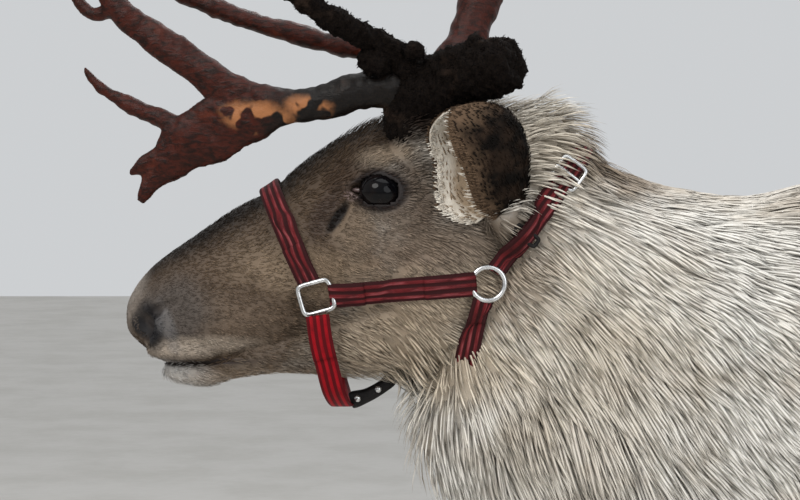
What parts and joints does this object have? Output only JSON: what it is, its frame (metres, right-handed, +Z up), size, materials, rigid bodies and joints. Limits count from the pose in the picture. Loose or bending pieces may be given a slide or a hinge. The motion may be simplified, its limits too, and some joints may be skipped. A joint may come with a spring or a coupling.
{
  "type": "reindeer",
  "caption": "Standing reindeer bull in winter coat, life size, with one whole and one broken antler, wearing a webbing halter.",
  "frame": {"origin": "on the floor, under the centre of the bounding box", "axes": "+X from the nose towards the tail, +Y towards the animal's right side, +Z up"},
  "size_m": [1.7254, 0.515, 1.908],
  "materials": {
    "face": "short grey-brown hair",
    "coat": "long cream and grey hair",
    "leg": "short grey-brown hair",
    "ear": "short dark hair with pale edges",
    "eye": "wet and glossy",
    "hoof": "dark horn",
    "bone": "bare red-brown antler",
    "velvet": "dark drying velvet",
    "webbing": "worn dull red webbing",
    "webbing_red": "bright red webbing",
    "steel": "plated, lightly worn",
    "leather": "black"
  },
  "bodies": {
    "root": {"chin_strap": "webbing_red", "crown_buckle": "steel", "crown_keeper": "steel", "crown_strap": "webbing", "head": "face", "jaw_strap": "leather", "left_antler_base": "velvet", "left_bez_tine": "velvet", "left_brow_shovel": "bone", "left_cheek_strap": "webbing", "left_ear": "ear", "left_eye": "eye", "left_foreleg_inner_hoof": "hoof", "left_foreleg_lower": "leg", "left_foreleg_outer_hoof": "hoof", "left_foreleg_upper": "leg", "left_hindleg_inner_hoof": "hoof", "left_hindleg_lower": "leg", "left_hindleg_outer_hoof": "hoof", "left_hindleg_upper": "leg", "left_round_ring": "steel", "left_square_ring": "steel", "left_throat_strap": "webbing", "neck": "coat", "noseband": "webbing", "right_antler_beam": "bone", "right_antler_upper": "bone", "right_bez_tine": "bone", "right_brow_tine": "bone", "right_cheek_strap": "webbing", "right_crown": "bone", "right_ear": "ear", "right_eye": "eye", "right_foreleg_inner_hoof": "hoof", "right_foreleg_lower": "leg", "right_foreleg_outer_hoof": "hoof", "right_foreleg_upper": "leg", "right_hindleg_inner_hoof": "hoof", "right_hindleg_lower": "leg", "right_hindleg_outer_hoof": "hoof", "right_hindleg_upper": "leg", "right_round_ring": "steel", "right_square_ring": "steel", "right_throat_strap": "webbing", "tail": "coat", "torso": "coat"}
  },
  "joints": []
}
